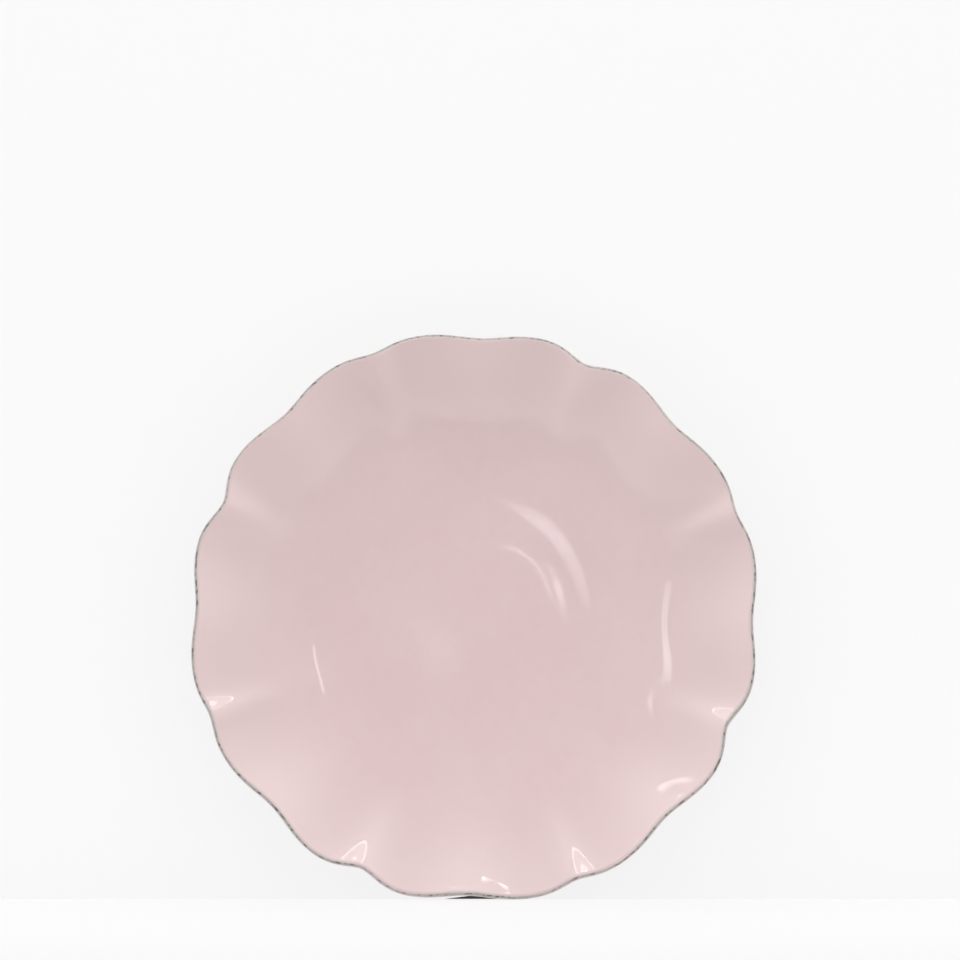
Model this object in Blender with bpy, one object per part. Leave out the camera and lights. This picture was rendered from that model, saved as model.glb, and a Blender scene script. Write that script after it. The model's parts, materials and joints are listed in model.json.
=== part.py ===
"""Ruffled stoneware soup plate: clay body, foot ring, glaze coats and rubbed rim edge.

The plate lies on its foot ring with the bowl facing +Z, and the origin is under its centre.
Every surface is read from one skin that runs from the middle of the face over the lip and
down the back to the foot, so that the clay and the coats on it follow the same ruffles.
"""
import math

import bmesh
import bpy
from mathutils import Vector

# Driving dimensions, in metres
FACE_RADIUS = 0.1201
FLOOR_TOP = 0.0100
WALL_RISE = 0.0191
BASE_HEIGHT = 0.0042
LIP_THICKNESS = 0.0050
LIP_FRONT = 0.0013
LIP_REACH = 0.0013
LIP_BACK_ROUND = 0.0017
FOOT_RADIUS = 0.0555
FOOT_SOLE_WIDTH = 0.0034
FOOT_TOP_WIDTH = 0.0072
FOOT_EDGE_ROUND = 0.0009
GLAZE = 0.0005
GAP = 0.0003

# The face is level inside the well and curves up from there to the lip. Places are shares of the
# way from the middle of the plate to the lip.
WELL_EDGE = 0.10
WALL_CURVE = 3.45
WALL_FOOT = 0.49

# Sixteen ridges are pinched into the rim. Each is how far it draws the rim in and the half width
# of that in degrees, then how far its crest lifts the rim and the half width of the crest. The
# four kinds repeat round the plate, so that broad dips alternate with narrow notches.
RIDGE_KINDS = (
    (0.0040, 8.4, 0.0020, 13.8),
    (0.0025, 4.4, 0.0028, 3.0),
    (0.0046, 8.4, 0.0027, 13.8),
    (0.0051, 5.3, 0.0015, 2.7),
)
RIDGE_COUNT = 16
RUFFLE_START = 0.627
RUFFLE_FULL = 1.08

# The nose of the lip stands out by its reach past the face's edge. It has a tight front corner and
# a long back, which is rounded off and so starts a little nearer the middle than the face ends. The
# rubbed band is given as angles round the nose from the face to the back.
BAND_FROM = math.radians(30)
BAND_TO = math.radians(140)

# Finishes: linear colour, roughness and weight of the clear gloss over it
FIRED_CLAY = ((0.66, 0.59, 0.50), 0.75, 0.0)
PINK_GLAZE = ((0.72, 0.53, 0.54), 0.12, 0.5)
RUBBED_GLAZE = ((0.36, 0.35, 0.34), 0.55, 0.0)

# Mesh steps
STEPS_PER_RIDGE = 7
NOTCH_CROWDING = 1.5
FACE_STEPS = 8
FACE_CROWDING = 0.7
BODY_LIP_STEPS = 4
FRONT_LIP_STEPS = 1
BAND_STEPS = 4
BACK_STEPS = 5
FOOT_STEPS = 48
FOOT_ROUND_STEPS = 2
SHARP_ANGLE = math.radians(40)

RIDGE_PITCH = math.tau / RIDGE_COUNT
LIP_LEAN = LIP_BACK_ROUND / FACE_RADIUS
SEGMENTS = RIDGE_COUNT * STEPS_PER_RIDGE
BODY_DEPTH = GLAZE + GAP
BAND_FRONT_GAP = GAP / (LIP_FRONT - GLAZE / 2)
BAND_BACK_GAP = GAP / (LIP_THICKNESS / 2)
SLOPE_STEP = 1e-4


def smooth_share(value, low, high):
    """Return 0 below low and 1 above high, with a soft change between them."""
    share = min(max((value - low) / (high - low), 0.0), 1.0)
    return share * share * (3.0 - 2.0 * share)


def crowded_angles():
    """Return the angles of the mesh round the plate, closer together at the narrow notches."""
    angles = []
    for ridge in range(RIDGE_COUNT):
        for step in range(STEPS_PER_RIDGE):
            share = step / STEPS_PER_RIDGE
            from_notch = ridge % 2 == 1
            place = share ** NOTCH_CROWDING if from_notch else 1.0 - (1.0 - share) ** NOTCH_CROWDING
            angles.append((ridge + place) * RIDGE_PITCH)
    return angles


def ridges(angle):
    """Return how far the rim is drawn in and how far it is lifted at an angle round the plate."""
    drawn_in = lifted = 0.0
    for ridge in range(RIDGE_COUNT):
        depth, half_width, lift, crest_half_width = RIDGE_KINDS[ridge % len(RIDGE_KINDS)]
        away = math.degrees(math.remainder(angle - ridge * RIDGE_PITCH, math.tau))
        drawn_in += depth * math.exp(-(away / half_width) ** 2)
        lifted += lift * math.exp(-(away / crest_half_width) ** 2)
    return drawn_in, lifted


def ruffle_growth(share):
    """Return how much of a ridge's full size at the lip it has at a share of the way out."""
    return smooth_share(share, RUFFLE_START, RUFFLE_FULL) / smooth_share(1.0, RUFFLE_START, RUFFLE_FULL)


def face_point(share, angle):
    """Return the point of the face at a share of the way out to the lip."""
    drawn_in, lifted = ridges(angle)
    growth = ruffle_growth(share)
    radius = FACE_RADIUS * share - drawn_in * growth
    climb = max(share - WELL_EDGE, 0.0) / (1.0 - WELL_EDGE)
    height = FLOOR_TOP + WALL_RISE * climb ** WALL_CURVE + lifted * growth
    return Vector((radius * math.cos(angle), radius * math.sin(angle), height))


def edge_direction(share, angle):
    """Return the direction round the plate along a line of equal share."""
    ahead = face_point(share, angle + SLOPE_STEP)
    return (ahead - face_point(share, angle - SLOPE_STEP)).normalized()


def face_normal(share, angle):
    """Return the direction that the face looks in."""
    outwards = face_point(share + SLOPE_STEP, angle) - face_point(share - SLOPE_STEP, angle)
    return outwards.cross(edge_direction(share, angle)).normalized()


FOOT_THICKNESS = (face_point(WALL_FOOT, 0.0).z - BASE_HEIGHT) / face_normal(WALL_FOOT, 0.0).z


def wall_thickness(share):
    """Return the wall's thickness, which thins evenly from the foot to the lip."""
    up_wall = (share - WALL_FOOT) / (1.0 - WALL_FOOT)
    return FOOT_THICKNESS + (LIP_THICKNESS - FOOT_THICKNESS) * up_wall


def skin_point(station, angle, depth):
    """Return the point at a depth under the plate's skin at a station."""
    zone, place = station
    if zone == "lip":
        behind = place > math.pi / 2
        share = 1.0 - LIP_LEAN * (1.0 - math.sin(place)) if behind else 1.0
        up = face_normal(share, angle)
        outwards = edge_direction(share, angle).cross(up)
        tall = wall_thickness(share) - LIP_FRONT if behind else LIP_FRONT
        middle = face_point(share, angle) - LIP_FRONT * up
        return (middle + (tall - depth) * math.cos(place) * up
                + (LIP_REACH - depth) * math.sin(place) * outwards)
    if zone == "back":
        depth = wall_thickness(place) - depth
    return face_point(place, angle) - depth * face_normal(place, angle)


ANGLES = crowded_angles()
FACE_STATIONS = [("face", (step / FACE_STEPS) ** FACE_CROWDING) for step in range(1, FACE_STEPS + 1)]
BACK_TOP = 1.0 - LIP_LEAN
BACK_STATIONS = [
    ("back", BACK_TOP + (WALL_FOOT - BACK_TOP) * step / BACK_STEPS) for step in range(BACK_STEPS + 1)
]


def lip_stations(start, end, steps):
    """Return stations evenly spaced round the nose of the lip, both ends included."""
    return [("lip", start + (end - start) * step / steps) for step in range(steps + 1)]


def add_rings(mesh, stations, depth):
    """Add one ring of vertices for each station, at a depth below the skin."""
    rings = []
    for station in stations:
        rings.append([mesh.verts.new(skin_point(station, angle, depth)) for angle in ANGLES])
    return rings


def add_strip(mesh, inner, outer, turned=False):
    """Join two rings with triangles whose diagonals all run the same way."""
    for here in range(SEGMENTS):
        ahead = (here + 1) % SEGMENTS
        corners = ((inner[here], outer[here], outer[ahead]), (inner[here], outer[ahead], inner[ahead]))
        for corner in corners:
            mesh.faces.new(corner[::-1] if turned else corner)


def add_fan(mesh, ring, height, turned=False):
    """Close a ring with triangles that meet on the plate's axis."""
    middle = mesh.verts.new((0.0, 0.0, height))
    for here, vertex in enumerate(ring):
        corner = (middle, vertex, ring[(here + 1) % len(ring)])
        mesh.faces.new(corner[::-1] if turned else corner)


def add_sheet(mesh, rings, turned=False):
    """Join rings, in their order, into one continuous sheet."""
    for inner, outer in zip(rings, rings[1:]):
        add_strip(mesh, inner, outer, turned)


def make_material(name, look):
    """Make a fired clay or glaze material from a finish."""
    colour, roughness, gloss = look
    material = bpy.data.materials.new(name)
    material.use_nodes = True
    shader = material.node_tree.nodes["Principled BSDF"]
    shader.inputs["Base Color"].default_value = (*colour, 1.0)
    shader.inputs["Roughness"].default_value = roughness
    shader.inputs["Metallic"].default_value = 0.0
    shader.inputs["Coat Weight"].default_value = gloss
    return material


def finish(name, mesh, look, holder):
    """Turn a mesh under construction into a named, smooth shaded object with its own material."""
    data = bpy.data.meshes.new(name)
    mesh.to_mesh(data)
    mesh.free()
    data.materials.append(make_material(name + "_finish", look))
    data.shade_smooth()
    data.set_sharp_from_angle(angle=SHARP_ANGLE)
    piece = bpy.data.objects.new(name, data)
    bpy.context.collection.objects.link(piece)
    piece.parent = holder


def make_body(holder):
    """Make the clay body: face, lip and back at one depth under the skin, and a level base."""
    mesh = bmesh.new()
    lip = lip_stations(0.0, math.pi, BODY_LIP_STEPS)[1:-1]
    rings = add_rings(mesh, FACE_STATIONS + lip + BACK_STATIONS, BODY_DEPTH)
    add_fan(mesh, rings[0], FLOOR_TOP - BODY_DEPTH)
    add_sheet(mesh, rings)
    add_fan(mesh, rings[-1], rings[-1][0].co.z, turned=True)
    finish("stoneware_body", mesh, FIRED_CLAY, holder)


def make_face_glaze(holder):
    """Make the coat over the well, the wall and the front of the lip."""
    mesh = bmesh.new()
    lip = lip_stations(0.0, BAND_FROM - BAND_FRONT_GAP, FRONT_LIP_STEPS)[1:]
    outside = add_rings(mesh, FACE_STATIONS + lip, 0.0)
    inside = add_rings(mesh, FACE_STATIONS + lip, GLAZE)
    add_fan(mesh, outside[0], FLOOR_TOP)
    add_sheet(mesh, outside)
    add_strip(mesh, outside[-1], inside[-1])
    add_sheet(mesh, inside, turned=True)
    add_fan(mesh, inside[0], FLOOR_TOP - GLAZE, turned=True)
    finish("face_glaze", mesh, PINK_GLAZE, holder)


def make_wrapped_coat(name, stations, look, holder):
    """Make a coat that runs right round the plate between two open edges."""
    mesh = bmesh.new()
    outside = add_rings(mesh, stations, 0.0)
    inside = add_rings(mesh, stations, GLAZE)
    add_sheet(mesh, outside)
    add_strip(mesh, outside[-1], inside[-1])
    add_sheet(mesh, inside, turned=True)
    add_strip(mesh, inside[0], outside[0])
    finish(name, mesh, look, holder)


def make_foot_ring(holder):
    """Make the tapered ring that the plate stands on, with a level sole and soft edges."""
    mesh = bmesh.new()
    top = BASE_HEIGHT + GLAZE
    section = (
        (FOOT_RADIUS - FOOT_TOP_WIDTH / 2, top),
        (FOOT_RADIUS - FOOT_SOLE_WIDTH / 2 - FOOT_EDGE_ROUND, 0.0),
        (FOOT_RADIUS + FOOT_SOLE_WIDTH / 2 + FOOT_EDGE_ROUND, 0.0),
        (FOOT_RADIUS + FOOT_TOP_WIDTH / 2, top),
    )
    corners = [mesh.verts.new((radius, 0.0, height)) for radius, height in section]
    sides = [mesh.edges.new((corners[here - 1], corners[here])) for here in range(len(corners))]
    bmesh.ops.spin(mesh, geom=corners + sides, cent=(0, 0, 0), axis=(0, 0, 1), angle=math.tau,
                   steps=FOOT_STEPS, use_merge=True)
    bmesh.ops.remove_doubles(mesh, verts=mesh.verts, dist=GAP / 10)
    sole_edges = [
        edge for edge in mesh.edges
        if all(vertex.co.z < GAP for vertex in edge.verts)
        and abs(edge.verts[0].co.xy.length - edge.verts[1].co.xy.length) < GAP
    ]
    bmesh.ops.bevel(mesh, geom=sole_edges, offset=FOOT_EDGE_ROUND, segments=FOOT_ROUND_STEPS,
                    profile=0.5, affect="EDGES")
    bmesh.ops.recalc_face_normals(mesh, faces=mesh.faces)
    finish("foot_ring", mesh, FIRED_CLAY, holder)


def make_base_glaze(holder):
    """Make the disc of glaze inside the foot ring."""
    mesh = bmesh.new()
    radius = FOOT_RADIUS - FOOT_TOP_WIDTH / 2 - GAP
    bmesh.ops.create_cone(mesh, cap_ends=True, segments=FOOT_STEPS, radius1=radius, radius2=radius,
                          depth=GLAZE)
    bmesh.ops.translate(mesh, verts=mesh.verts, vec=(0.0, 0.0, BASE_HEIGHT + GLAZE / 2))
    finish("base_glaze", mesh, PINK_GLAZE, holder)


def build_plate():
    """Clear the scene and make every piece of the plate."""
    for item in list(bpy.data.objects):
        bpy.data.objects.remove(item, do_unlink=True)
    holder = bpy.data.objects.new("soup_plate", None)
    bpy.context.collection.objects.link(holder)

    make_body(holder)
    make_foot_ring(holder)
    make_face_glaze(holder)
    make_wrapped_coat("back_glaze", [("lip", BAND_TO + BAND_BACK_GAP)] + BACK_STATIONS, PINK_GLAZE, holder)
    make_base_glaze(holder)
    band = lip_stations(BAND_FROM, BAND_TO, BAND_STEPS)
    make_wrapped_coat("rim_edge_band", band, RUBBED_GLAZE, holder)


build_plate()
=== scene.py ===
"""Looks of the ruffled stoneware soup plate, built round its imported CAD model.

The plate lies on its foot ring with the bowl facing +Z. The photograph shows it standing on its
rim, so the camera, the ledge under the rim and the lamps are set in the photograph's own axes.
"""
import json
import math

import bmesh
import bpy
from mathutils import Matrix, Vector

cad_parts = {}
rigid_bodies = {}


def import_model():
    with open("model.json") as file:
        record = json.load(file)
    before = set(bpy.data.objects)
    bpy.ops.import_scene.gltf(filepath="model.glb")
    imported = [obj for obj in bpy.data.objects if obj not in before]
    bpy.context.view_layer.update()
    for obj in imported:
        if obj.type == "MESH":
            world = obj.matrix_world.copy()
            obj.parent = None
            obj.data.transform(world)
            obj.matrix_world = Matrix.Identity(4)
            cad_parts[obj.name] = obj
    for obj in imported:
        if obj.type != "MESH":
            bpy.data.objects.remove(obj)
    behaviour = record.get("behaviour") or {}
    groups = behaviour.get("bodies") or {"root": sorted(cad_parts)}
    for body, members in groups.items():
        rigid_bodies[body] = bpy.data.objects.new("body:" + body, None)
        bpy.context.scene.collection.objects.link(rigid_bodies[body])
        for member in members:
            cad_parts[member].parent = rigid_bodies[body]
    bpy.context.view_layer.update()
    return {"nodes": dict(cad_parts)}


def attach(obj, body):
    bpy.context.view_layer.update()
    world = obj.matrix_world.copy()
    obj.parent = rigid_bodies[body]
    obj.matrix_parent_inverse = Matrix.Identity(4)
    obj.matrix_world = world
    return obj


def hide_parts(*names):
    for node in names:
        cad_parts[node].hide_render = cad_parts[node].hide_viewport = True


for item in list(bpy.data.objects):
    bpy.data.objects.remove(item, do_unlink=True)
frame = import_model()

# Sizes of the plate in metres, as in its CAD source
FACE_RADIUS = 0.1201
FLOOR_TOP = 0.0100
WALL_RISE = 0.0191
BASE_HEIGHT = 0.0042
LIP_THICKNESS = 0.0050
LIP_FRONT = 0.0013
LIP_REACH = 0.0013
LIP_BACK_ROUND = 0.0017
FOOT_RADIUS = 0.0555
FOOT_SOLE_WIDTH = 0.0034
GLAZE = 0.0005
WELL_EDGE = 0.10
WALL_CURVE = 3.45
WALL_FOOT = 0.49
RUFFLE_START = 0.627
RUFFLE_FULL = 1.08

# Unevenness of the pressed wall, in metres, and how fine it is
WOBBLE = 0.00012
WOBBLE_SCALE = 28.0

# The four kinds of ridge that repeat round the rim: name, how far it draws the rim in and the half
# width of that in degrees, then how far its crest lifts the rim and the crest's half width
RIDGE_KINDS = (
    ("Dip", 0.0040, 8.4, 0.0020, 13.8),
    ("Shallow Notch", 0.0025, 4.4, 0.0028, 3.0),
    ("Deep Dip", 0.0046, 8.4, 0.0027, 13.8),
    ("Deep Notch", 0.0051, 5.3, 0.0015, 2.7),
)
RIDGE_PITCH = math.radians(22.5)
DEEPEST_RIDGE = max(ridge[1] for ridge in RIDGE_KINDS)

# The wall is thickest at the foot, where the back of the wall meets the base
FOOT_CLIMB = (WALL_FOOT - WELL_EDGE) / (1 - WELL_EDGE)
FOOT_SLOPE = math.atan(
    WALL_RISE * WALL_CURVE * FOOT_CLIMB ** (WALL_CURVE - 1) / (FACE_RADIUS * (1 - WELL_EDGE))
)
FOOT_TOP = FLOOR_TOP + WALL_RISE * FOOT_CLIMB ** WALL_CURVE
FOOT_THICKNESS = (FOOT_TOP - BASE_HEIGHT) / math.cos(FOOT_SLOPE)

# Places along the plate's section: 0 is the middle of the face, 1 the edge of the face, 2 the
# back of the lip and 3 the foot
BAND_START = 1.08
BAND_END = 1.90
FOOT_PLACE = 3.0

# How near two points are to become one, and the angle from which an edge is shaded as sharp
COAT_MERGE = 1e-5
SPIN_MERGE = 1e-6
SHARP_ANGLE = math.radians(40)

# The photograph's axes. The plate leans back and is rolled a little.
LEAN = math.radians(6.25)
ROLL = math.radians(1.39)
ROLLED = Matrix.Rotation(ROLL, 3, "Z")
RIGHT = ROLLED @ Vector((1, 0, 0))
UP = ROLLED @ Vector((0, math.cos(LEAN), math.sin(LEAN)))
TOWARD = ROLLED @ Vector((0, -math.sin(LEAN), math.cos(LEAN)))
RIM_CENTRE = Vector((0, 0, FLOOR_TOP + WALL_RISE))


class Wiring:
    """Adds and joins the nodes of one tree."""

    def __init__(self, tree):
        self.tree = tree

    def node(self, kind, values=(), **settings):
        """Add a node, set its properties and feed the named inputs."""
        made = self.tree.nodes.new(kind)
        for name, value in settings.items():
            setattr(made, name, value)
        for name, value in dict(values).items():
            self.feed(made.inputs[name], value)
        return made

    def feed(self, socket, value):
        """Give a socket a link or a plain value."""
        if isinstance(value, bpy.types.NodeSocket):
            self.tree.links.new(value, socket)
        else:
            socket.default_value = value

    def calc(self, operation, *values):
        """Return the result of a sum on numbers."""
        made = self.tree.nodes.new("ShaderNodeMath")
        made.operation = operation
        for socket, value in zip(made.inputs, values):
            self.feed(socket, value)
        return made.outputs[0]

    def total(self, *values):
        """Return the sum of several numbers."""
        result = values[0]
        for value in values[1:]:
            result = self.calc("ADD", result, value)
        return result

    def clamped(self, value):
        """Return a number kept between 0 and 1."""
        return self.calc("MINIMUM", self.calc("MAXIMUM", value, 0.0), 1.0)

    def ramp(self, value, low, high, start=0.0, end=1.0):
        """Return a soft change from start to end as a value goes from low to high."""
        made = self.node("ShaderNodeMapRange", interpolation_type="SMOOTHSTEP")
        for name, number in (("Value", value), ("From Min", low), ("From Max", high),
                             ("To Min", start), ("To Max", end)):
            self.feed(made.inputs[name], number)
        return made.outputs["Result"]

    def vector(self, operation, *values):
        """Return the result of a sum on vectors."""
        made = self.tree.nodes.new("ShaderNodeVectorMath")
        made.operation = operation
        for socket, value in zip(made.inputs, values):
            self.feed(socket, value)
        return made.outputs["Vector"]

    def scaled(self, vector, factor):
        """Return a vector times a number."""
        made = self.tree.nodes.new("ShaderNodeVectorMath")
        made.operation = "SCALE"
        self.feed(made.inputs["Vector"], vector)
        self.feed(made.inputs["Scale"], factor)
        return made.outputs["Vector"]

    def noise(self, place, scale, detail=2.0, seed=0.0):
        """Return a fixed noise between about 0 and 1."""
        made = self.node("ShaderNodeTexNoise", noise_dimensions="4D")
        self.feed(made.inputs["Vector"], place)
        self.feed(made.inputs["Scale"], scale)
        made.inputs["Detail"].default_value = detail
        made.inputs["W"].default_value = seed
        return made.outputs[0]

    def mixed(self, share, first, second):
        """Return a colour between two colours."""
        made = self.node("ShaderNodeMix", data_type="RGBA")
        for socket, value in ((made.inputs[0], share), (made.inputs[6], first), (made.inputs[7], second)):
            if isinstance(value, tuple):
                value = (*value, 1.0)
            self.feed(socket, value)
        return made.outputs[2]

    def group(self, tree, sizes, **values):
        """Add a node group, passing on the sizes and feeding the other inputs."""
        made = self.tree.nodes.new("GeometryNodeGroup")
        made.node_tree = tree
        for socket in made.inputs:
            if socket.name in sizes:
                self.feed(socket, sizes[socket.name])
        for name, value in values.items():
            self.feed(made.inputs[name.replace("_", " ").title()], value)
        return made


# Plate sizes that the Geometry Nodes take as named inputs
PLATE_SIZES = {
    "Face Radius": FACE_RADIUS, "Floor Top": FLOOR_TOP, "Wall Rise": WALL_RISE,
    "Well Edge": WELL_EDGE, "Wall Curve": WALL_CURVE, "Wall Foot": WALL_FOOT,
    "Foot Thickness": FOOT_THICKNESS, "Lip Thickness": LIP_THICKNESS,
    "Lip Front": LIP_FRONT, "Lip Reach": LIP_REACH, "Lip Lean": LIP_BACK_ROUND / FACE_RADIUS,
    "Ruffle Start": RUFFLE_START, "Ruffle Full": RUFFLE_FULL,
    "Wobble": WOBBLE, "Wobble Scale": WOBBLE_SCALE,
}
for kind, depth, half_width, lift, crest_half_width in RIDGE_KINDS:
    PLATE_SIZES[kind + " Depth"] = depth
    PLATE_SIZES[kind + " Half Width"] = math.radians(half_width)
    PLATE_SIZES[kind + " Lift"] = lift
    PLATE_SIZES[kind + " Crest Half Width"] = math.radians(crest_half_width)


def new_group(name, inputs, outputs):
    """Start a node group with the plate's sizes and its own inputs and outputs."""
    tree = bpy.data.node_groups.new(name, "GeometryNodeTree")
    for title, kind in inputs:
        tree.interface.new_socket(title, in_out="INPUT", socket_type="NodeSocket" + kind)
    for title, size in PLATE_SIZES.items():
        socket = tree.interface.new_socket(title, in_out="INPUT", socket_type="NodeSocketFloat")
        socket.default_value = size
    for title, kind in outputs:
        tree.interface.new_socket(title, in_out="OUTPUT", socket_type="NodeSocket" + kind)
    wiring = Wiring(tree)
    given = wiring.node("NodeGroupInput").outputs
    result = wiring.node("NodeGroupOutput").inputs
    sizes = {title: given[title] for title in PLATE_SIZES}
    return wiring, given, result, sizes


def face_point_group():
    """Make the group that gives a point of the face and how far the ridges draw it in."""
    w, given, result, sizes = new_group(
        "Face Point", [("Share", "Float"), ("Angle", "Float")],
        [("Position", "Vector"), ("Drawn In", "Float")],
    )
    share, angle = given["Share"], given["Angle"]

    def bell(away, half_width, height):
        spread = w.calc("DIVIDE", away, half_width)
        falling = w.calc("MULTIPLY", w.calc("MULTIPLY", spread, spread), -1.0)
        return w.calc("MULTIPLY", w.calc("EXPONENT", falling), height)

    dents, crests = [], []
    for place, (kind, *_) in enumerate(RIDGE_KINDS):
        turned = w.calc("SUBTRACT", angle, place * RIDGE_PITCH)
        away = w.calc("WRAP", turned, math.tau / 8, -math.tau / 8)
        dents.append(bell(away, sizes[kind + " Half Width"], sizes[kind + " Depth"]))
        crests.append(bell(away, sizes[kind + " Crest Half Width"], sizes[kind + " Lift"]))
    reached, at_lip = (w.ramp(at, sizes["Ruffle Start"], sizes["Ruffle Full"]) for at in (share, 1.0))
    growth = w.calc("DIVIDE", reached, at_lip)
    drawn_in = w.calc("MULTIPLY", w.total(*dents), growth)
    lifted = w.calc("MULTIPLY", w.total(*crests), growth)
    radius = w.calc("SUBTRACT", w.calc("MULTIPLY", share, sizes["Face Radius"]), drawn_in)
    past_well = w.calc("MAXIMUM", w.calc("SUBTRACT", share, sizes["Well Edge"]), 0.0)
    climb = w.calc("DIVIDE", past_well, w.calc("SUBTRACT", 1.0, sizes["Well Edge"]))
    rise = w.calc("MULTIPLY", w.calc("POWER", climb, sizes["Wall Curve"]), sizes["Wall Rise"])
    point = w.node("ShaderNodeCombineXYZ", {
        "X": w.calc("MULTIPLY", radius, w.calc("COSINE", angle)),
        "Y": w.calc("MULTIPLY", radius, w.calc("SINE", angle)),
        "Z": w.total(sizes["Floor Top"], rise, lifted),
    })
    w.feed(result["Position"], point.outputs[0])
    w.feed(result["Drawn In"], drawn_in)
    return w.tree


def plate_skin_group(face_point):
    """Make the group that gives a point at a depth under the plate's skin."""
    w, given, result, sizes = new_group(
        "Plate Skin", [("Place", "Float"), ("Angle", "Float"), ("Depth", "Float")],
        [("Position", "Vector"), ("Drawn In", "Float")],
    )
    place, angle = given["Place"], given["Angle"]
    step = 1e-3
    off_axis = 0.02
    turn = w.calc("MULTIPLY", w.clamped(w.calc("SUBTRACT", place, 1.0)), math.pi)
    behind = w.calc("GREATER_THAN", turn, math.pi / 2)
    down_back = w.clamped(w.calc("SUBTRACT", place, 2.0))
    wall_length = w.calc("SUBTRACT", 1.0, sizes["Wall Foot"])

    # The back of the lip is rounded off, so it starts a little nearer the middle than the face ends
    rounded = w.calc("SUBTRACT", 1.0, w.calc("SINE", turn))
    lean = w.calc("MULTIPLY", w.calc("MULTIPLY", behind, rounded), sizes["Lip Lean"])
    back_length = w.calc("SUBTRACT", wall_length, sizes["Lip Lean"])
    fallen = w.calc("MULTIPLY_ADD", down_back, back_length, lean)
    share = w.calc("SUBTRACT", w.calc("MINIMUM", place, 1.0), fallen)

    def point(at_share, at_angle):
        return w.group(face_point, sizes, share=at_share, angle=at_angle).outputs["Position"]

    # Directions along and across the face, kept off the axis where they have no meaning
    near = w.calc("MAXIMUM", share, off_axis)
    along = w.vector("SUBTRACT", point(w.calc("ADD", near, step), angle),
                     point(w.calc("SUBTRACT", near, step), angle))
    across = w.vector("SUBTRACT", point(near, w.calc("ADD", angle, step)),
                      point(near, w.calc("SUBTRACT", angle, step)))
    up = w.vector("NORMALIZE", w.vector("CROSS_PRODUCT", along, across))
    outwards = w.vector("NORMALIZE", w.vector("CROSS_PRODUCT", across, up))

    up_wall = w.calc("DIVIDE", w.calc("SUBTRACT", share, sizes["Wall Foot"]), wall_length)
    thinning = w.calc("SUBTRACT", sizes["Lip Thickness"], sizes["Foot Thickness"])
    thickness = w.calc("MULTIPLY_ADD", up_wall, thinning, sizes["Foot Thickness"])

    # A slow unevenness of the pressed wall, the same for every coat on it
    face = w.group(face_point, sizes, share=share, angle=angle)
    uneven = w.calc("SUBTRACT", w.noise(face.outputs["Position"], sizes["Wobble Scale"], 1.0, 3.7), 0.5)
    on_wall = w.ramp(share, WALL_FOOT, RUFFLE_START)
    wobble_size = w.calc("MULTIPLY", sizes["Wobble"], on_wall)
    wobble = w.calc("MULTIPLY", w.calc("MULTIPLY", uneven, 2.0), wobble_size)

    # The nose of the lip turns from the face to the back, with a tight front corner and a long back
    front = sizes["Lip Front"]
    tall = w.calc("MULTIPLY_ADD", behind, w.calc("MULTIPLY_ADD", front, -2.0, thickness), front)
    height = w.calc("MULTIPLY", w.calc("SUBTRACT", tall, given["Depth"]), w.calc("COSINE", turn))
    height = w.calc("ADD", w.calc("SUBTRACT", height, front), wobble)
    reach = w.calc("MULTIPLY", w.calc("SUBTRACT", sizes["Lip Reach"], given["Depth"]), w.calc("SINE", turn))
    spot = w.vector("ADD", face.outputs["Position"], w.scaled(up, height))
    w.feed(result["Position"], w.vector("ADD", spot, w.scaled(outwards, reach)))
    w.feed(result["Drawn In"], face.outputs["Drawn In"])
    return w.tree


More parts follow.
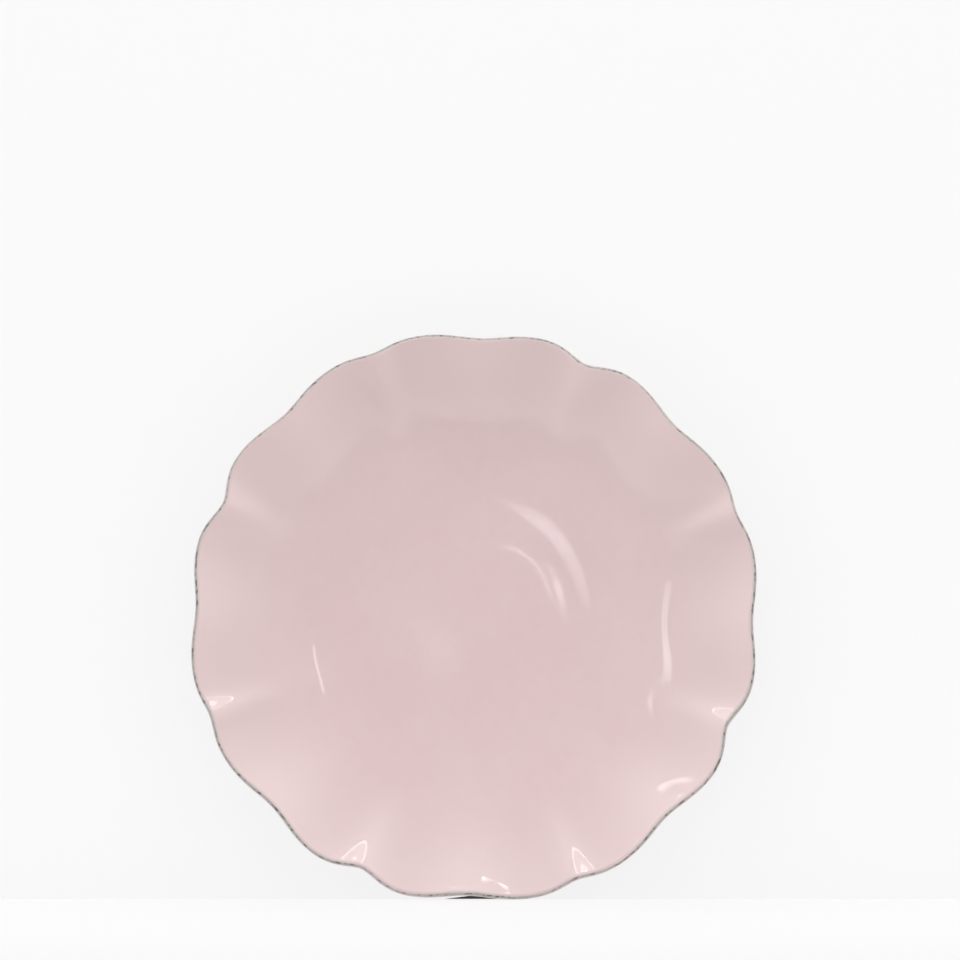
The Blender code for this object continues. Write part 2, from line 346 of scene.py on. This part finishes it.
def plate_coat_tree():
    """Make the tree of one closed coat that follows the plate's skin between two places."""
    w, given, result, sizes = new_group(
        "Plate Coat",
        [("Start", "Float"), ("End", "Float"), ("Coat Depth", "Float"), ("Crowding", "Float"),
         ("Around Steps", "Int"), ("Section Steps", "Int"), ("Columns", "Int"), ("Finish", "Material")],
        [("Geometry", "Geometry")],
    )
    steps = given["Section Steps"]
    grid = w.node("GeometryNodeMeshGrid", {
        "Size X": 1.0, "Size Y": 1.0, "Vertices X": w.calc("ADD", given["Around Steps"], 1.0),
        "Vertices Y": given["Columns"],
    })
    corner = w.node("ShaderNodeSeparateXYZ", {"Vector": w.node("GeometryNodeInputPosition").outputs[0]})
    angle = w.calc("MULTIPLY", w.calc("ADD", corner.outputs["X"], 0.5), -math.tau)

    # Columns run out along the skin, back along the coat's inner side and close on the first
    last = w.calc("SUBTRACT", given["Columns"], 1.0)
    column = w.calc("ROUND", w.calc("MULTIPLY", w.calc("ADD", corner.outputs["Y"], 0.5), last))
    fold = w.calc("ADD", steps, 0.5)
    past_fold = w.calc("SUBTRACT", column, fold)
    station = w.calc("MAXIMUM", w.calc("SUBTRACT", fold, w.calc("ABSOLUTE", past_fold)), 0.0)
    share = w.calc("POWER", w.calc("DIVIDE", station, steps), given["Crowding"])
    place = w.calc("MULTIPLY_ADD", share, w.calc("SUBTRACT", given["End"], given["Start"]), given["Start"])
    before_closing = w.calc("LESS_THAN", past_fold, w.calc("ADD", fold, 0.5))
    inner = w.calc("MULTIPLY", w.calc("GREATER_THAN", past_fold, 0.0), before_closing)
    depth = w.calc("MULTIPLY", inner, given["Coat Depth"])

    skin = w.group(plate_skin_group(face_point_group()), sizes, place=place, angle=angle, depth=depth)
    mesh = grid.outputs["Mesh"]
    for title, value in (("section_place", place),
                         ("ridge", w.calc("DIVIDE", skin.outputs["Drawn In"], DEEPEST_RIDGE))):
        mesh = w.node("GeometryNodeStoreNamedAttribute", {
            "Geometry": mesh, "Name": title, "Value": value,
        }, data_type="FLOAT", domain="POINT").outputs[0]
    mesh = w.node("GeometryNodeSetPosition", {
        "Geometry": mesh, "Position": skin.outputs["Position"],
    }).outputs[0]
    mesh = w.node("GeometryNodeMergeByDistance", {"Geometry": mesh, "Distance": COAT_MERGE}).outputs[0]
    mesh = w.node("GeometryNodeSetShadeSmooth", {"Geometry": mesh}).outputs[0]
    mesh = w.node("GeometryNodeRealizeInstances", {"Geometry": mesh}).outputs[0]
    mesh = w.node("GeometryNodeSetMaterial", {"Geometry": mesh, "Material": given["Finish"]}).outputs[0]
    w.feed(result["Geometry"], mesh)
    return w.tree


def coat_piece(name, tree, finish, start, end, steps, crowding=1.0, around=600):
    """Make one coat as a plain mesh. A coat that starts on the axis needs no closing column."""
    piece = bpy.data.objects.new(name, bpy.data.meshes.new(name + "_start"))
    bpy.context.scene.collection.objects.link(piece)
    coat = piece.modifiers.new("coat", "NODES")
    coat.node_group = tree
    closing = 2 if start == 0 else 3
    values = {"Start": start, "End": end, "Coat Depth": GLAZE, "Crowding": crowding, "Around Steps": around,
              "Section Steps": steps, "Columns": 2 * steps + closing, "Finish": finish}
    for socket in tree.interface.items_tree:
        if socket.name in values and socket.in_out == "INPUT":
            coat[socket.identifier] = values[socket.name]
    made = bpy.data.meshes.new_from_object(piece.evaluated_get(bpy.context.evaluated_depsgraph_get()))
    piece.modifiers.clear()
    made.name = name
    piece.data = made
    made.set_sharp_from_angle(angle=SHARP_ANGLE)
    return piece


def spun_piece(name, section, finish, steps=192):
    """Make a piece by turning a closed section, given as radius and height, round the axis."""
    mesh = bmesh.new()
    corners = [mesh.verts.new((radius, 0.0, height)) for radius, height in section]
    sides = [
        mesh.edges.new((corners[here - 1], corners[here])) for here in range(len(corners))
        if section[here - 1][0] + section[here][0] > 0
    ]
    bmesh.ops.spin(mesh, geom=corners + sides, cent=(0, 0, 0), axis=(0, 0, 1), angle=math.tau,
                   steps=steps, use_merge=True)
    bmesh.ops.remove_doubles(mesh, verts=mesh.verts, dist=SPIN_MERGE)
    bmesh.ops.recalc_face_normals(mesh, faces=mesh.faces)
    data = bpy.data.meshes.new(name)
    mesh.to_mesh(data)
    mesh.free()
    data.materials.append(finish)
    data.shade_smooth()
    data.set_sharp_from_angle(angle=SHARP_ANGLE)
    piece = bpy.data.objects.new(name, data)
    bpy.context.scene.collection.objects.link(piece)
    return piece


# Finishes, as linear colours
PALE_PINK = (0.722, 0.556, 0.560)
DEEP_PINK = (0.664, 0.490, 0.498)
RIM_PINK = (0.678, 0.532, 0.526)
# Paler pink for the ridges: glaze that runs thin there, with a painted sheen on their crests
THIN_GLAZE_AND_SHEEN_PINK = (0.765, 0.612, 0.610)
WORN_GREY = (0.33, 0.32, 0.31)
WORN_PALE = (0.56, 0.50, 0.48)
DARK_FLECK = (0.060, 0.055, 0.052)
CLAY = (0.66, 0.59, 0.50)
CLAY_DARK = (0.50, 0.42, 0.34)
CLAY_GRIT = (0.25, 0.19, 0.15)


def new_finish(name, roughness, ior):
    """Start a material and return it with its wiring, shader and object coordinates."""
    material = bpy.data.materials.new(name)
    material.use_nodes = True
    w = Wiring(material.node_tree)
    shader = material.node_tree.nodes["Principled BSDF"]
    shader.inputs["Roughness"].default_value = roughness
    shader.inputs["IOR"].default_value = ior
    place = w.node("ShaderNodeTexCoord").outputs["Object"]
    return material, w, shader, place


def pink_tone(w, place):
    """Return the glaze's colour: paler on the ridges, partly where the glaze runs thin and partly as a
    painted sheen of light on their crests, and deeper where it pools.
    """
    ridge = w.node("ShaderNodeAttribute", attribute_name="ridge").outputs["Fac"]
    at = w.node("ShaderNodeAttribute", attribute_name="section_place").outputs["Fac"]
    depth = w.ramp(at, 0.40, 0.60, 0.44, 0.30)
    cloud = w.calc("MULTIPLY_ADD", w.noise(place, 24.0, 2.0, 1.3), 0.9, -0.45)
    mottle = w.calc("MULTIPLY_ADD", w.noise(place, 210.0, 3.0, 5.1), 0.5, -0.25)
    # Less pooled on the ridges: thin glaze there, and in part a painted sheen
    ridge_thin_and_sheen = w.calc("MULTIPLY", ridge, -0.25)
    pooled = w.clamped(w.total(cloud, mottle, ridge_thin_and_sheen, depth))
    tone = w.mixed(pooled, PALE_PINK, DEEP_PINK)
    tone = w.mixed(w.ramp(at, 0.64, 0.90, 0.0, 0.85), tone, RIM_PINK)
    # Paler towards the ridge crests: thin glaze, and in part a painted sheen of light
    tone = w.mixed(w.calc("MULTIPLY", ridge, 0.5), tone, THIN_GLAZE_AND_SHEEN_PINK)
    speck = w.ramp(w.noise(place, 1500.0, 1.0, 8.2), 0.74, 0.80, 0.0, 0.18)
    return w.mixed(speck, tone, WORN_GREY)


def glaze_ripple(w, place, strength):
    """Return a normal with the fine unevenness of a fired glaze."""
    bump = w.node("ShaderNodeBump")
    bump.inputs["Strength"].default_value = strength
    bump.inputs["Distance"].default_value = 0.0003
    w.feed(bump.inputs["Height"], w.noise(place, 190.0, 2.0, 2.2))
    return bump.outputs["Normal"]


def pink_glaze(name):
    """Make the pale pink gloss glaze."""
    material, w, shader, place = new_finish(name, 0.03, 1.55)
    w.feed(shader.inputs["Base Color"], pink_tone(w, place))
    w.feed(shader.inputs["Roughness"], w.ramp(w.noise(place, 60.0, 2.0, 4.4), 0.3, 0.7, 0.02, 0.04))
    w.feed(shader.inputs["Normal"], glaze_ripple(w, place, 0.01))
    return material


def rubbed_edge(name):
    """Make the lip's finish: pink glaze that breaks into a worn grey line with dark flecks."""
    material, w, shader, place = new_finish(name, 0.4, 1.5)
    at = w.node("ShaderNodeAttribute", attribute_name="section_place").outputs["Fac"]
    stray = w.calc("MULTIPLY_ADD", w.noise(place, 120.0, 3.0, 6.6), 0.16, -0.08)
    ragged = w.calc("MULTIPLY_ADD", w.noise(place, 700.0, 2.0, 7.3), 0.10, -0.05)
    edge = w.total(at, stray, ragged)
    worn = w.calc("MULTIPLY", w.ramp(edge, 1.10, 1.26), w.ramp(edge, 1.78, 1.90, 1.0, 0.0))
    line = w.calc("MULTIPLY", w.ramp(edge, 1.27, 1.34), w.ramp(edge, 1.50, 1.62, 1.0, 0.0))
    patch = w.ramp(w.noise(place, 34.0, 2.0, 9.4), 0.40, 0.60)
    fleck = w.ramp(w.noise(place, 420.0, 3.0, 3.1), 0.50, 0.62)
    pink = pink_tone(w, place)
    thinned = w.mixed(w.calc("MULTIPLY_ADD", patch, 0.45, 0.40), pink, WORN_PALE)
    streak = w.mixed(fleck, WORN_GREY, DARK_FLECK)
    grey = w.mixed(w.calc("MULTIPLY", line, w.calc("MULTIPLY_ADD", patch, 0.25, 0.65)), thinned, streak)
    w.feed(shader.inputs["Base Color"], w.mixed(worn, pink, grey))
    w.feed(shader.inputs["Roughness"], w.calc("MULTIPLY_ADD", worn, 0.38, 0.07))
    w.feed(shader.inputs["Normal"], glaze_ripple(w, place, 0.08))
    return material


def bare_clay(name, lapped):
    """Make fired clay with grit in it. On the foot ring the glaze laps over its upper part."""
    material, w, shader, place = new_finish(name, 0.8, 1.45)
    grain = w.noise(place, 420.0, 4.0, 1.9)
    grit = w.ramp(w.noise(place, 1100.0, 2.0, 5.5), 0.64, 0.72)
    tone = w.mixed(w.ramp(grain, 0.3, 0.7), CLAY, CLAY_DARK)
    tone = w.mixed(w.calc("MULTIPLY", grit, 0.7), tone, CLAY_GRIT)
    rough = w.calc("MULTIPLY_ADD", grain, 0.2, 0.7)
    if lapped:
        height = w.node("ShaderNodeSeparateXYZ", {"Vector": place}).outputs["Z"]
        line = w.calc("MULTIPLY_ADD", w.noise(place, 130.0, 2.0, 2.8), 0.0012, height)
        glazed = w.ramp(line, 0.0026, 0.0029)
        tone = w.mixed(glazed, tone, pink_tone(w, place))
        rough = w.calc("MULTIPLY_ADD", glazed, w.calc("SUBTRACT", 0.08, rough), rough)
    bump = w.node("ShaderNodeBump")
    bump.inputs["Strength"].default_value = 0.35
    bump.inputs["Distance"].default_value = 0.0002
    w.feed(bump.inputs["Height"], w.noise(place, 900.0, 3.0, 0.4))
    w.feed(shader.inputs["Base Color"], tone)
    w.feed(shader.inputs["Roughness"], rough)
    w.feed(shader.inputs["Normal"], bump.outputs["Normal"])
    return material


def arc(centre, radius, start, end, steps):
    """Return points of a rounded corner in a section, with angles in degrees."""
    angles = [math.radians(start + (end - start) * step / steps) for step in range(steps + 1)]
    return [(centre[0] + radius * math.cos(a), centre[1] + radius * math.sin(a)) for a in angles]


# Pieces of the plate
plate_coat = plate_coat_tree()
face = coat_piece("face_coat", plate_coat, pink_glaze("face_pink_glaze"), 0.0, BAND_START, 64,
                  crowding=0.75)
rim = coat_piece("rim_edge", plate_coat, rubbed_edge("rim_rubbed_glaze"), BAND_START, BAND_END, 24)
back = coat_piece("back_coat", plate_coat, pink_glaze("back_pink_glaze"), BAND_END, FOOT_PLACE, 48)

# The foot ring in section: hollow fillets under the base, tapering sides and a rounded sole
SOLE_ROUND = 0.0009
SOLE_IN = FOOT_RADIUS - FOOT_SOLE_WIDTH / 2
SOLE_OUT = FOOT_RADIUS + FOOT_SOLE_WIDTH / 2
RING_OVERLAP = 0.0006
RING_TOP = BASE_HEIGHT + RING_OVERLAP
FILLET = 0.0020
FILLET_AWAY = 0.0036
RING_FLARE = 0.0040
ring_section = (
    arc((SOLE_OUT, SOLE_ROUND), SOLE_ROUND, 270, 345, 6)
    + arc((SOLE_OUT + FILLET_AWAY, BASE_HEIGHT - FILLET), FILLET, 175, 92, 6)
    + [(SOLE_OUT + RING_FLARE, RING_TOP), (SOLE_IN - RING_FLARE, RING_TOP)]
    + arc((SOLE_IN - FILLET_AWAY, BASE_HEIGHT - FILLET), FILLET, 88, 5, 6)
    + arc((SOLE_IN, SOLE_ROUND), SOLE_ROUND, 195, 270, 6)
)
foot = spun_piece("foot_ring_fine", ring_section, bare_clay("foot_clay", True))

DISC_INSET = 0.0034
DISC_RADIUS = SOLE_IN - DISC_INSET
DISC_TOP = BASE_HEIGHT + GLAZE
disc_section = (
    [(0.0, BASE_HEIGHT)]
    + [(DISC_RADIUS * step / 8, BASE_HEIGHT) for step in range(1, 8)]
    + arc((DISC_RADIUS - GLAZE / 2, BASE_HEIGHT + GLAZE / 2), GLAZE / 2, 270, 450, 6)
    + [(0.0, DISC_TOP)]
)
base = spun_piece("base_coat", disc_section, pink_glaze("base_pink_glaze"))

for piece, node, slot in (
    (face, "face_glaze", "pink_glaze"),
    (rim, "rim_edge_band", "rubbed_edge"),
    (back, "back_glaze", "pink_glaze"),
    (foot, "foot_ring", "fired_clay"),
    (base, "base_glaze", "pink_glaze"),
):
    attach(piece, "root")
    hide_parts(node)

body = frame["nodes"]["stoneware_body"]
body.data.materials.clear()
body.data.materials.append(bare_clay("body_clay", False))


# Studio
def photo_point(right, up, toward):
    """Return a point given in the photograph's axes from the middle of the rim."""
    return RIM_CENTRE + RIGHT * right + UP * up + TOWARD * toward


CAMERA_PLACE = (0.0024, 0.0569, 1.2)
FRAME_WIDTH = 0.408
SENSOR_WIDTH = 36.0
camera_data = bpy.data.cameras.new("photo_camera")
camera_data.sensor_width = SENSOR_WIDTH
camera_data.lens = SENSOR_WIDTH * CAMERA_PLACE[2] / FRAME_WIDTH
camera = bpy.data.objects.new("photo_camera", camera_data)
bpy.context.scene.collection.objects.link(camera)
axes = Matrix((RIGHT, UP, TOWARD)).transposed().to_4x4()
camera.matrix_world = Matrix.Translation(photo_point(*CAMERA_PLACE)) @ axes
bpy.context.scene.camera = camera


def stage_sheet(name, corners, material):
    """Make one flat sheet of the studio."""
    data = bpy.data.meshes.new(name)
    data.from_pydata([tuple(corner) for corner in corners], [], [tuple(range(len(corners)))])
    data.materials.append(material)
    sheet = bpy.data.objects.new(name, data)
    bpy.context.scene.collection.objects.link(sheet)
    return sheet


PAPER_WHITE = (0.86, 0.86, 0.86, 1.0)
PAPER_ROUGHNESS = 0.9


def paper(name, lit_share, glow, see_through_back, fade=None):
    """Make white paper that keeps a share of its shading for the camera and glows for the rest.

    The share fades out between two distances in front of the plate, where they are given. With a low glow,
    the paper shows the camera a dark painted shadow.
    """
    material = bpy.data.materials.new(name)
    material.use_nodes = True
    w = Wiring(material.node_tree)
    output = material.node_tree.nodes["Material Output"]
    shaded = material.node_tree.nodes["Principled BSDF"]
    shaded.inputs["Base Color"].default_value = PAPER_WHITE
    shaded.inputs["Roughness"].default_value = PAPER_ROUGHNESS
    shaded.inputs["Specular IOR Level"].default_value = 0.0
    white = w.node("ShaderNodeEmission", {"Strength": glow})
    seen = w.node("ShaderNodeLightPath").outputs["Is Camera Ray"]
    mix = w.node("ShaderNodeMixShader")
    glow_share = 1.0 - lit_share
    if fade:
        place = w.node("ShaderNodeTexCoord").outputs["Object"]
        ahead = w.node("ShaderNodeVectorMath", {0: place, 1: TOWARD}, operation="DOT_PRODUCT")
        glow_share = w.ramp(ahead.outputs["Value"], *fade, glow_share, 1.0)
    w.feed(mix.inputs[0], w.calc("MULTIPLY", seen, glow_share))
    w.feed(mix.inputs[1], shaded.outputs[0])
    w.feed(mix.inputs[2], white.outputs[0])
    surface = mix.outputs[0]
    if see_through_back:
        clear = w.node("ShaderNodeBsdfTransparent")
        side = w.node("ShaderNodeMixShader")
        w.feed(side.inputs[0], w.node("ShaderNodeNewGeometry").outputs["Backfacing"])
        w.feed(side.inputs[1], surface)
        w.feed(side.inputs[2], clear.outputs[0])
        surface = side.outputs[0]
    w.feed(output.inputs["Surface"], surface)
    return material


FLOOR_SIZE = 3.0
floor = stage_sheet("floor", [
    (-FLOOR_SIZE, -FLOOR_SIZE, 0), (FLOOR_SIZE, -FLOOR_SIZE, 0),
    (FLOOR_SIZE, FLOOR_SIZE, 0), (-FLOOR_SIZE, FLOOR_SIZE, 0),
], paper("floor_paper", 0.22, 0.973, False))

# The ledge that the rim stands on in the photograph
lowest = min((UP.dot(vertex.co - RIM_CENTRE), vertex.index) for vertex in rim.data.vertices)
LEDGE_LEVEL = lowest[0] + 0.0003
LEDGE_BACK = TOWARD.dot(rim.data.vertices[lowest[1]].co - RIM_CENTRE)
LEDGE_STRIP = 0.03
LEDGE_DEPTH = 0.62
LEDGE_HALF_WIDTH = 0.60
ledge_paper = paper("ledge_paper", 0.25, 0.955, True, (0.10, 0.22))


def ledge_sheet(name, start, end):
    """Make the part of the ledge between two distances from its back edge."""
    return stage_sheet(name, [
        photo_point(-LEDGE_HALF_WIDTH, LEDGE_LEVEL, LEDGE_BACK + end),
        photo_point(LEDGE_HALF_WIDTH, LEDGE_LEVEL, LEDGE_BACK + end),
        photo_point(LEDGE_HALF_WIDTH, LEDGE_LEVEL, LEDGE_BACK + start),
        photo_point(-LEDGE_HALF_WIDTH, LEDGE_LEVEL, LEDGE_BACK + start),
    ], ledge_paper)


# The strip next to the plate is for the camera only, so that it does not darken the rim seen from below
ledge_sheet("ledge", LEDGE_STRIP, LEDGE_DEPTH)
ledge_strip = ledge_sheet("ledge_strip", 0.0, LEDGE_STRIP)
ledge_strip.visible_diffuse = ledge_strip.visible_glossy = ledge_strip.visible_shadow = False

# A dark sheet painted as the shadow in the gap between the ledge and the rim's dip. The strip tapers to the
# left, and it leans and turns away, so that its front is seen from the camera's side only.
GAP_LEFT = -0.013
GAP_FULL = -0.002
GAP_RIGHT = 0.018
GAP_HEIGHT = 0.0012
GAP_LEAN = 0.0010
GAP_TURN = 0.26
GAP_DROP = 0.04


def gap_corner(right, rise):
    """Return a corner of the strip from its place along the gap and its height."""
    behind = GAP_RIGHT - right
    level = LEDGE_LEVEL + rise * GAP_HEIGHT - behind * GAP_DROP
    return photo_point(right, level, LEDGE_BACK - rise * GAP_LEAN - behind * GAP_TURN)


# Painted shadow: a near-black sheet that only camera rays see
painted_gap_shadow = stage_sheet("painted_gap_shadow", [
    gap_corner(GAP_LEFT, 0), gap_corner(GAP_RIGHT, 0), gap_corner(GAP_RIGHT, 1), gap_corner(GAP_FULL, 1),
], paper("gap_painted_shadow_paper", 0.02, 0.04, True))
painted_gap_shadow.visible_diffuse = painted_gap_shadow.visible_glossy = painted_gap_shadow.visible_shadow = False


def panel(name, place, size, radiance, facing, turn=0.0):
    """Make a lamp that faces along a direction, at a place in the photograph's axes."""
    data = bpy.data.lights.new(name, "AREA")
    data.shape = "RECTANGLE"
    data.size, data.size_y = size
    data.energy = radiance * math.pi * size[0] * size[1]
    lamp = bpy.data.objects.new(name, data)
    bpy.context.scene.collection.objects.link(lamp)
    away = -facing.normalized()
    across = (RIGHT - away * RIGHT.dot(away)).normalized()
    turned = Matrix((across, away.cross(across), away)).transposed().to_4x4()
    lamp.matrix_world = Matrix.Translation(photo_point(*place)) @ turned @ Matrix.Rotation(turn, 4, "Z")
    lamp.visible_camera = False
    return lamp


# A wide lamp overhead, with brighter tubes along its four sides
CEILING = 0.80
CEILING_TOWARD = 0.211
CEILING_WIDTH = 1.55
CEILING_DEPTH = 0.162
TUBE = 0.026
DIFFUSER_LEVEL = 1.1
TUBE_LEVEL = 5.2
panel("overhead_diffuser", (0.0, CEILING, CEILING_TOWARD),
      (CEILING_WIDTH - 2 * TUBE, CEILING_DEPTH - 2 * TUBE), DIFFUSER_LEVEL, -UP)
for side in (-1, 1):
    across = side * (CEILING_WIDTH - TUBE) / 2
    along = CEILING_TOWARD + side * (CEILING_DEPTH - TUBE) / 2
    panel("overhead_end_tube", (across, CEILING, CEILING_TOWARD), (TUBE, CEILING_DEPTH), TUBE_LEVEL, -UP)
    panel("overhead_long_tube", (0.0, CEILING, along), (CEILING_WIDTH - 2 * TUBE, TUBE),
          TUBE_LEVEL, -UP)

# Small lamps with narrow beams over the camera, beside it and overhead. The glaze mirrors them as arcs,
# streaks and spots. Each has a name, a place, a size, a level, the spot it is aimed at, and the angles
# of its beam and its turn.
ARC_SPOT = photo_point(0.034, 0.030, -0.018)
INNER_ARC_SPOT = photo_point(0.028, 0.026, -0.019)
DOT_SPOT = photo_point(0.036, 0.012, -0.018)
DIP_SPOT = photo_point(0.0096, -0.114, -0.003)
LOWER_RIGHT = photo_point(0.077, -0.076, -0.008)
RIGHT_WALL = photo_point(0.083, -0.005, -0.010)
LEFT_WALL = photo_point(-0.067, -0.021, -0.012)
for name, place, size, radiance, spot, beam, turn in (
    ("box_over_camera", (-0.0395, 0.2872, 1.9), (0.0406, 0.0698), 3.4, ARC_SPOT, 5.0, 0.0),
    ("lamp_over_camera", (0.0198, 0.3341, 1.9), (0.0110, 0.0050), 12.0, DOT_SPOT, 1.6, 0.0),
    ("strip_over_camera", (0.0250, 0.3520, 1.9), (0.0390, 0.0026), 7.0, INNER_ARC_SPOT, 1.8, -52.0),
    ("lamp_over_dip", (0.152, 0.800, 0.337), (0.036, 0.036), 10.0, DIP_SPOT, 3.2, 0.0),
    ("lamp_over_left", (-0.415, 0.800, 0.402), (0.075, 0.055), 4.6, LOWER_RIGHT, 7.0, 0.0),
    ("strip_on_left", (-0.535, 0.335, 1.3), (0.09, 0.33), 3.6, RIGHT_WALL, 20.0, 0.0),
    ("strip_on_right", (0.2100, 0.3020, 1.3), (0.010, 0.076), 5.5, LEFT_WALL, 14.0, -12.0),
):
    lamp = panel(name, place, size, radiance, spot - photo_point(*place), math.radians(turn))
    lamp.data.spread = math.radians(beam)
    lamp.data.energy *= 1.0 - lamp.data.spread / 2 / math.tan(lamp.data.spread / 2)

# A pale tent all round, which darkens towards its opening for the camera
TENT_LEVEL = 1.45
OPENING_LEVEL = 0.45
TENT_EDGE = math.cos(math.radians(68))
OPENING_EDGE = math.cos(math.radians(14))
BACKGROUND_LEVEL = 0.95
world = bpy.data.worlds.new("tent")
bpy.context.scene.world = world
world.use_nodes = True
w = Wiring(world.node_tree)
background = world.node_tree.nodes["Background"]
background.inputs["Color"].default_value = (1.0, 1.0, 1.0, 1.0)
direction = w.node("ShaderNodeTexCoord").outputs["Generated"]
ahead = w.node("ShaderNodeVectorMath", {0: direction, 1: TOWARD}, operation="DOT_PRODUCT").outputs["Value"]
opened = w.clamped(w.calc("DIVIDE", w.calc("SUBTRACT", ahead, TENT_EDGE), OPENING_EDGE - TENT_EDGE))
tent = w.calc("MULTIPLY_ADD", opened, OPENING_LEVEL - TENT_LEVEL, TENT_LEVEL)
seen = w.node("ShaderNodeLightPath").outputs["Is Camera Ray"]
shown = w.calc("MULTIPLY", seen, w.calc("SUBTRACT", BACKGROUND_LEVEL, tent))
w.feed(background.inputs["Strength"], w.calc("ADD", tent, shown))

bpy.context.scene.view_settings.view_transform = "Standard"
